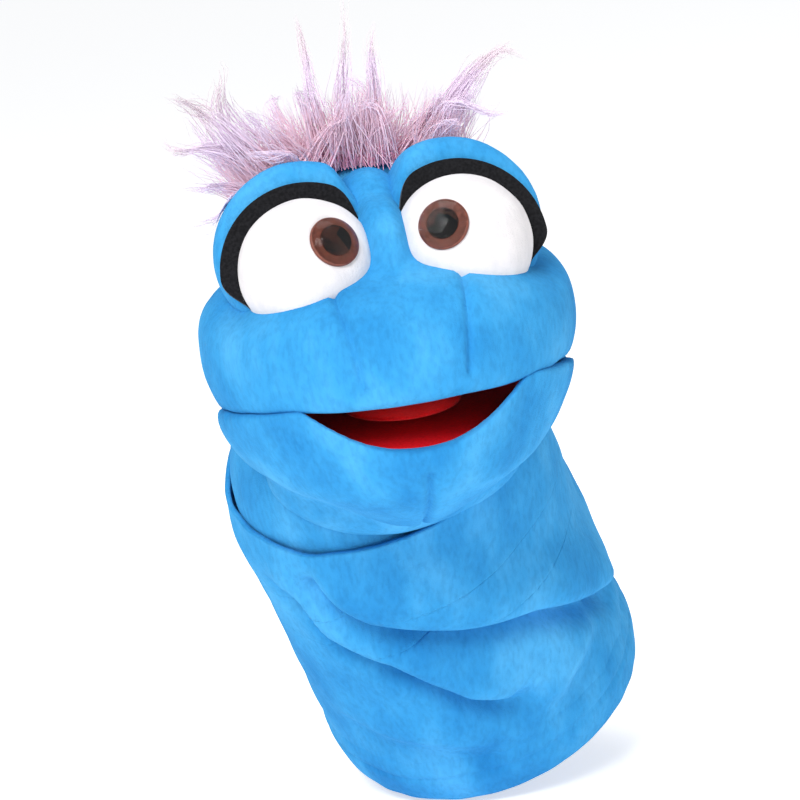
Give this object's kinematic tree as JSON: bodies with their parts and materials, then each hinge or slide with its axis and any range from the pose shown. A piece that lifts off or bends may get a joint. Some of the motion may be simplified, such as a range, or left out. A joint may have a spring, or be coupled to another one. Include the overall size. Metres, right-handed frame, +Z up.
{
  "type": "moving-mouth hand puppet",
  "caption": "Plush hand puppet with a hinged mouth worked by fingers and thumb, hooded round eyes, a fur tuft and a slouching arm sleeve.",
  "frame": {"origin": "centre of the sleeve's opening, in the plane of its hem", "axes": "+Z up through the upright head, which faces -Y; +X to the puppet's own left; the arm leans back and to one side of +Z"},
  "size_m": [0.1817, 0.2778, 0.3604],
  "materials": {
    "blue_plush": "short pile plush",
    "red_lining": "smooth felt",
    "tongue_felt": "soft felt",
    "white_fleece": "brushed fleece",
    "foam": "open cell foam",
    "black_felt": "matte felt",
    "brown_plastic": "polished",
    "black_plastic": "polished",
    "clear_dome": "clear polished plastic",
    "pale_plastic": "moulded",
    "mouth_board": "stiff board",
    "pocket_cloth": "plain weave",
    "hinge_tape": "woven tape",
    "hair_backing": "knit backing",
    "pink_fur": "long pile fur"
  },
  "bodies": {
    "sleeve": {"sleeve_front_panel": "blue_plush", "sleeve_back_panel": "blue_plush", "sleeve_hem": "blue_plush", "sleeve_middle_fold": "blue_plush"},
    "collar": {"sleeve_upper_fold": "blue_plush"},
    "neck": {"neck_ring": "blue_plush"},
    "head": {"neck_cuff": "blue_plush", "muzzle_centre_panel": "blue_plush", "muzzle_panel_left": "blue_plush", "muzzle_panel_right": "blue_plush", "head_back_panel_left": "blue_plush", "head_back_panel_right": "blue_plush", "head_base_panel": "blue_plush", "head_padding": "foam", "eye_white_left": "white_fleece", "eye_white_right": "white_fleece", "eye_filling_left": "foam", "eye_filling_right": "foam", "iris_left": "brown_plastic", "iris_right": "brown_plastic", "pupil_left": "black_plastic", "pupil_right": "black_plastic", "eye_lens_left": "clear_dome", "eye_lens_right": "clear_dome", "eye_post_left": "pale_plastic", "eye_post_right": "pale_plastic", "eye_washer_left": "pale_plastic", "eye_washer_right": "pale_plastic", "lash_left": "black_felt", "lash_right": "black_felt", "brow_hood_left": "blue_plush", "brow_hood_right": "blue_plush", "hair_pad": "hair_backing", "hair_locks": "pink_fur", "palate_lining": "red_lining", "upper_mouth_board": "mouth_board", "mouth_hinge_cord": "hinge_tape", "finger_pocket": "pocket_cloth"},
    "jaw": {"chin_panel_left": "blue_plush", "chin_panel_right": "blue_plush", "jaw_padding": "foam", "floor_lining": "red_lining", "lower_mouth_board": "mouth_board", "thumb_pocket": "pocket_cloth"},
    "tongue": {"tongue": "tongue_felt"}
  },
  "joints": [
    {"name": "head_turn", "type": "hinge", "parent": "sleeve", "child": "collar", "pos_m": [-0.03816, -0.06205, 0.12073], "axis": [-0.2706, -0.44, 0.8562], "range_deg": [-25, 25]},
    {"name": "head_tilt", "type": "hinge", "parent": "collar", "child": "neck", "pos_m": [-0.03816, -0.06205, 0.12073], "axis": [0, 1, 0], "range_deg": [-18, 18]},
    {"name": "head_nod", "type": "hinge", "parent": "neck", "child": "head", "pos_m": [-0.03816, -0.06205, 0.12073], "axis": [1, 0, 0], "range_deg": [-20, 20]},
    {"name": "mouth_open", "type": "hinge", "parent": "head", "child": "jaw", "pos_m": [-0.03816, -0.11405, 0.16273], "axis": [1, 0, 0], "range_deg": [-11, 28]},
    {"name": "tongue_lift", "type": "hinge", "parent": "head", "child": "tongue", "pos_m": [-0.03816, -0.11405, 0.16273], "axis": [1, 0, 0], "range_deg": [-6, 15]}
  ],
  "couplings": [
    {"joint": "tongue_lift", "follows": "mouth_open", "ratio": 0.5}
  ]
}
